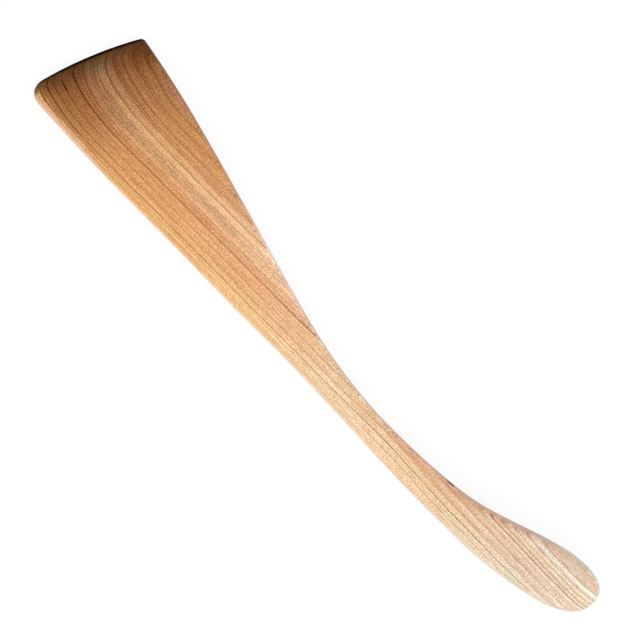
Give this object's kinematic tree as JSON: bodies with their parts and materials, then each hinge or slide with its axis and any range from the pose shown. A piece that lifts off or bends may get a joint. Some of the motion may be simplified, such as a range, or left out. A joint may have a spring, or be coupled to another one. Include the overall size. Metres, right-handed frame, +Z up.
{
  "type": "roux spoon",
  "caption": "Flat wooden roux spoon with a slanted scraping edge, a slim neck and a curved, palm-filling handle end.",
  "frame": {"origin": "on the surface the spoon lies on, under the middle of its length and width", "axes": "+X from the working edge to the handle end, +Y to the hollow side of the handle's curve, +Z up through the face"},
  "size_m": [0.35, 0.0608, 0.0127],
  "materials": {
    "cherry_wood": "sanded smooth and oiled, satin"
  },
  "bodies": {
    "root": {"spoon_body": "cherry_wood"}
  },
  "joints": []
}
